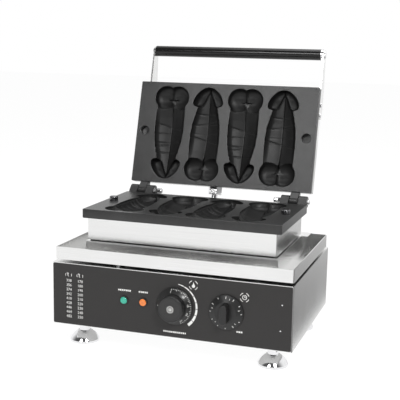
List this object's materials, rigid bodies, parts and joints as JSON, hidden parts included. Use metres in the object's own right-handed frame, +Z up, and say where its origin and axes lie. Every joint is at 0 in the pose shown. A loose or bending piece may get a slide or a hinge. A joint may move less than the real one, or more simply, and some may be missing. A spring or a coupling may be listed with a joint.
{
  "type": "hot dog waffle maker",
  "caption": "Countertop waffle baker with shaped moulds in a hinged pair of plates, a drip tray and a front control panel.",
  "frame": {"origin": "on the floor, under the middle of the whole appliance as it stands with the lid open", "axes": "+X to the cook's right, +Y to the hinge side, +Z up"},
  "size_m": [0.35, 0.3421, 0.4236],
  "materials": {
    "body_steel": "bright brushed stainless sheet",
    "hidden_steel": "plain stainless sheet and rod",
    "bright_steel": "polished stainless or nickel plate",
    "mould_cast": "cast aluminium with a dark satin release coat",
    "stud_steel": "dark polished steel",
    "heater_tube": "heat-darkened tube",
    "wool": "pressed ceramic wool",
    "gasket_rubber": "black heat-proof rubber",
    "panel_film": "charcoal satin film",
    "knob_plastic": "charcoal satin moulding",
    "cap_plastic": "charcoal satin inlay",
    "grip_plastic": "black phenolic moulding",
    "control_body": "dark moulding",
    "terminal_brass": "plain brass",
    "lens_green": "tinted lens",
    "lens_orange": "tinted lens"
  },
  "bodies": {
    "base": {"base_shell": "body_steel", "bottom_plate": "hidden_steel", "bottom_screws": "bright_steel", "box_ferrule": "bright_steel", "box_gland": "bright_steel", "control_panel": "panel_film", "earth_stud": "terminal_brass", "foot_bolts": "hidden_steel", "foot_front_left": "bright_steel", "foot_front_right": "bright_steel", "foot_rear_left": "bright_steel", "foot_rear_right": "bright_steel", "hinge_nuts": "bright_steel", "hinge_pin_left": "bright_steel", "hinge_pin_right": "bright_steel", "lamp_bezels": "knob_plastic", "lamp_bodies": "control_body", "lamp_lens_green": "lens_green", "lamp_lens_orange": "lens_orange", "locating_studs": "stud_steel", "lower_heater": "heater_tube", "lower_plate": "mould_cast", "lower_reflector": "hidden_steel", "lower_wool": "wool", "mains_gland": "bright_steel", "plate_bolts": "hidden_steel", "plinth": "body_steel", "skirt": "body_steel", "skirt_gasket": "gasket_rubber", "terminal_block": "control_body", "terminal_screws": "terminal_brass", "thermostat_body": "control_body", "thermostat_bulb": "bright_steel", "timer_body": "control_body", "tray": "body_steel", "tray_screws": "bright_steel", "tray_spacers": "bright_steel", "wiring_box": "body_steel", "wiring_box_lid": "body_steel"},
    "lid": {"upper_plate": "mould_cast", "upper_heater": "heater_tube", "upper_reflector": "hidden_steel", "upper_wool": "wool", "lid_cover": "body_steel", "cover_standoffs": "hidden_steel", "cover_screws": "bright_steel", "lid_gland": "bright_steel", "lid_ferrule": "bright_steel", "handle_arm_left": "body_steel", "handle_arm_right": "body_steel", "arm_screws": "bright_steel", "handle_grip": "grip_plastic", "handle_rod": "hidden_steel", "handle_screws": "bright_steel"},
    "temperature_dial": {"temperature_knob": "knob_plastic", "temperature_cap": "cap_plastic", "temperature_shaft": "bright_steel"},
    "timer_dial": {"timer_knob": "knob_plastic", "timer_shaft": "bright_steel"}
  },
  "joints": [
    {"name": "lid_hinge", "type": "hinge", "parent": "base", "child": "lid", "pos_m": [0, 0.06524, 0.195], "axis": [1, 0, 0], "range_deg": [0, 106]},
    {"name": "temperature_turn", "type": "hinge", "parent": "base", "child": "temperature_dial", "pos_m": [0.0103, -0.16106, 0.078], "axis": [0, 1, 0], "range_deg": [0, 300]},
    {"name": "timer_turn", "type": "hinge", "parent": "base", "child": "timer_dial", "pos_m": [0.084, -0.16106, 0.078], "axis": [0, 1, 0], "range_deg": [0, 330]}
  ]
}
